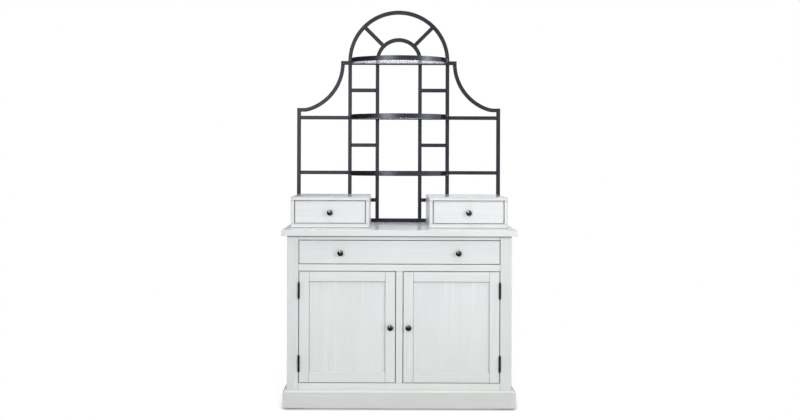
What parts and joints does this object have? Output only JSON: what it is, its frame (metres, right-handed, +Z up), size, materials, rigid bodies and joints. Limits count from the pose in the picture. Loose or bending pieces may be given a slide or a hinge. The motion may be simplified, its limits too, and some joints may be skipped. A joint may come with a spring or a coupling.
{
  "type": "bakers rack",
  "caption": "White painted cupboard base with drawers and doors under a dark metal hutch with arches, swept wings and bow-fronted glass shelves.",
  "frame": {"origin": "middle of the whole object's footprint, on the floor under the glides", "axes": "+Z up, the doors and drawers face -Y, +X to the right seen from the front"},
  "size_m": [1.168, 0.457, 2.075],
  "materials": {
    "white_paint": "satin painted wood, brushed, with a faint grey-brown glaze in the joints",
    "plain_wood": "clear-lacquered pale wood inside the drawers",
    "hutch_metal": "charcoal satin paint on steel tube",
    "band_metal": "near-black satin paint on flat steel bar",
    "shelf_glass": "clear float glass, polished edge",
    "knob_metal": "near-black turned knob with a soft shine",
    "hinge_metal": "dark bronzed butt hinge",
    "runner_steel": "zinc-plated drawer runner",
    "screw_steel": "charcoal painted screw",
    "catch_plastic": "white moulded catch",
    "glide_plastic": "black nylon glide"
  },
  "bodies": {
    "rack": {"base_top": "white_paint", "front_posts": "white_paint", "back_posts": "white_paint", "side_rails": "white_paint", "side_panels": "white_paint", "face_rails": "white_paint", "centre_stile": "white_paint", "back_rails": "white_paint", "back_panel": "white_paint", "cupboard_floor": "white_paint", "cupboard_shelf": "white_paint", "shelf_cleats": "white_paint", "plinth_boards": "white_paint", "small_case_left": "white_paint", "small_case_right": "white_paint", "hutch_outer_uprights": "hutch_metal", "hutch_mid_uprights": "hutch_metal", "hutch_inner_uprights": "hutch_metal", "hutch_outer_arch": "hutch_metal", "hutch_inner_arch": "hutch_metal", "hutch_spokes": "hutch_metal", "hutch_top_rail": "hutch_metal", "hutch_shelf_rails": "hutch_metal", "hutch_bottom_rail": "hutch_metal", "hutch_wing_curves": "hutch_metal", "hutch_rungs": "hutch_metal", "shelf_hoop_top": "band_metal", "shelf_hoop_middle": "band_metal", "shelf_hoop_bottom": "band_metal", "shelf_glass_top": "shelf_glass", "shelf_glass_middle": "shelf_glass", "shelf_glass_bottom": "shelf_glass", "hinge_leaves_fixed": "hinge_metal", "hinge_pins": "hinge_metal", "drawer_runners_fixed": "runner_steel", "hutch_screws": "screw_steel", "magnetic_catch": "catch_plastic", "floor_glides": "glide_plastic"},
    "door_left": {"door_left_stiles": "white_paint", "door_left_rails": "white_paint", "door_left_panel": "white_paint", "door_left_knob": "knob_metal", "door_left_hinge_leaves": "hinge_metal", "door_left_strike_plate": "runner_steel"},
    "door_right": {"door_right_stiles": "white_paint", "door_right_rails": "white_paint", "door_right_panel": "white_paint", "door_right_knob": "knob_metal", "door_right_hinge_leaves": "hinge_metal", "door_right_strike_plate": "runner_steel"},
    "wide_drawer": {"wide_drawer_front": "white_paint", "wide_drawer_tray": "plain_wood", "wide_drawer_knobs": "knob_metal", "wide_drawer_runners": "runner_steel"},
    "small_drawer_left": {"small_drawer_left_front": "white_paint", "small_drawer_left_tray": "plain_wood", "small_drawer_left_knob": "knob_metal"},
    "small_drawer_right": {"small_drawer_right_front": "white_paint", "small_drawer_right_tray": "plain_wood", "small_drawer_right_knob": "knob_metal"}
  },
  "joints": [
    {"name": "door_left_hinge", "type": "hinge", "parent": "rack", "child": "door_left", "pos_m": [-0.4995, -0.2073, 0.404], "axis": [0, 0, -1], "range_deg": [0, 170]},
    {"name": "door_right_hinge", "type": "hinge", "parent": "rack", "child": "door_right", "pos_m": [0.4995, -0.2073, 0.404], "axis": [0, 0, 1], "range_deg": [0, 170]},
    {"name": "wide_drawer_slide", "type": "slide", "parent": "rack", "child": "wide_drawer", "axis": [0, -1, 0], "range_m": [0, 0.26]},
    {"name": "small_drawer_left_slide", "type": "slide", "parent": "rack", "child": "small_drawer_left", "axis": [0, -1, 0], "range_m": [0, 0.2]},
    {"name": "small_drawer_right_slide", "type": "slide", "parent": "rack", "child": "small_drawer_right", "axis": [0, -1, 0], "range_m": [0, 0.2]}
  ]
}
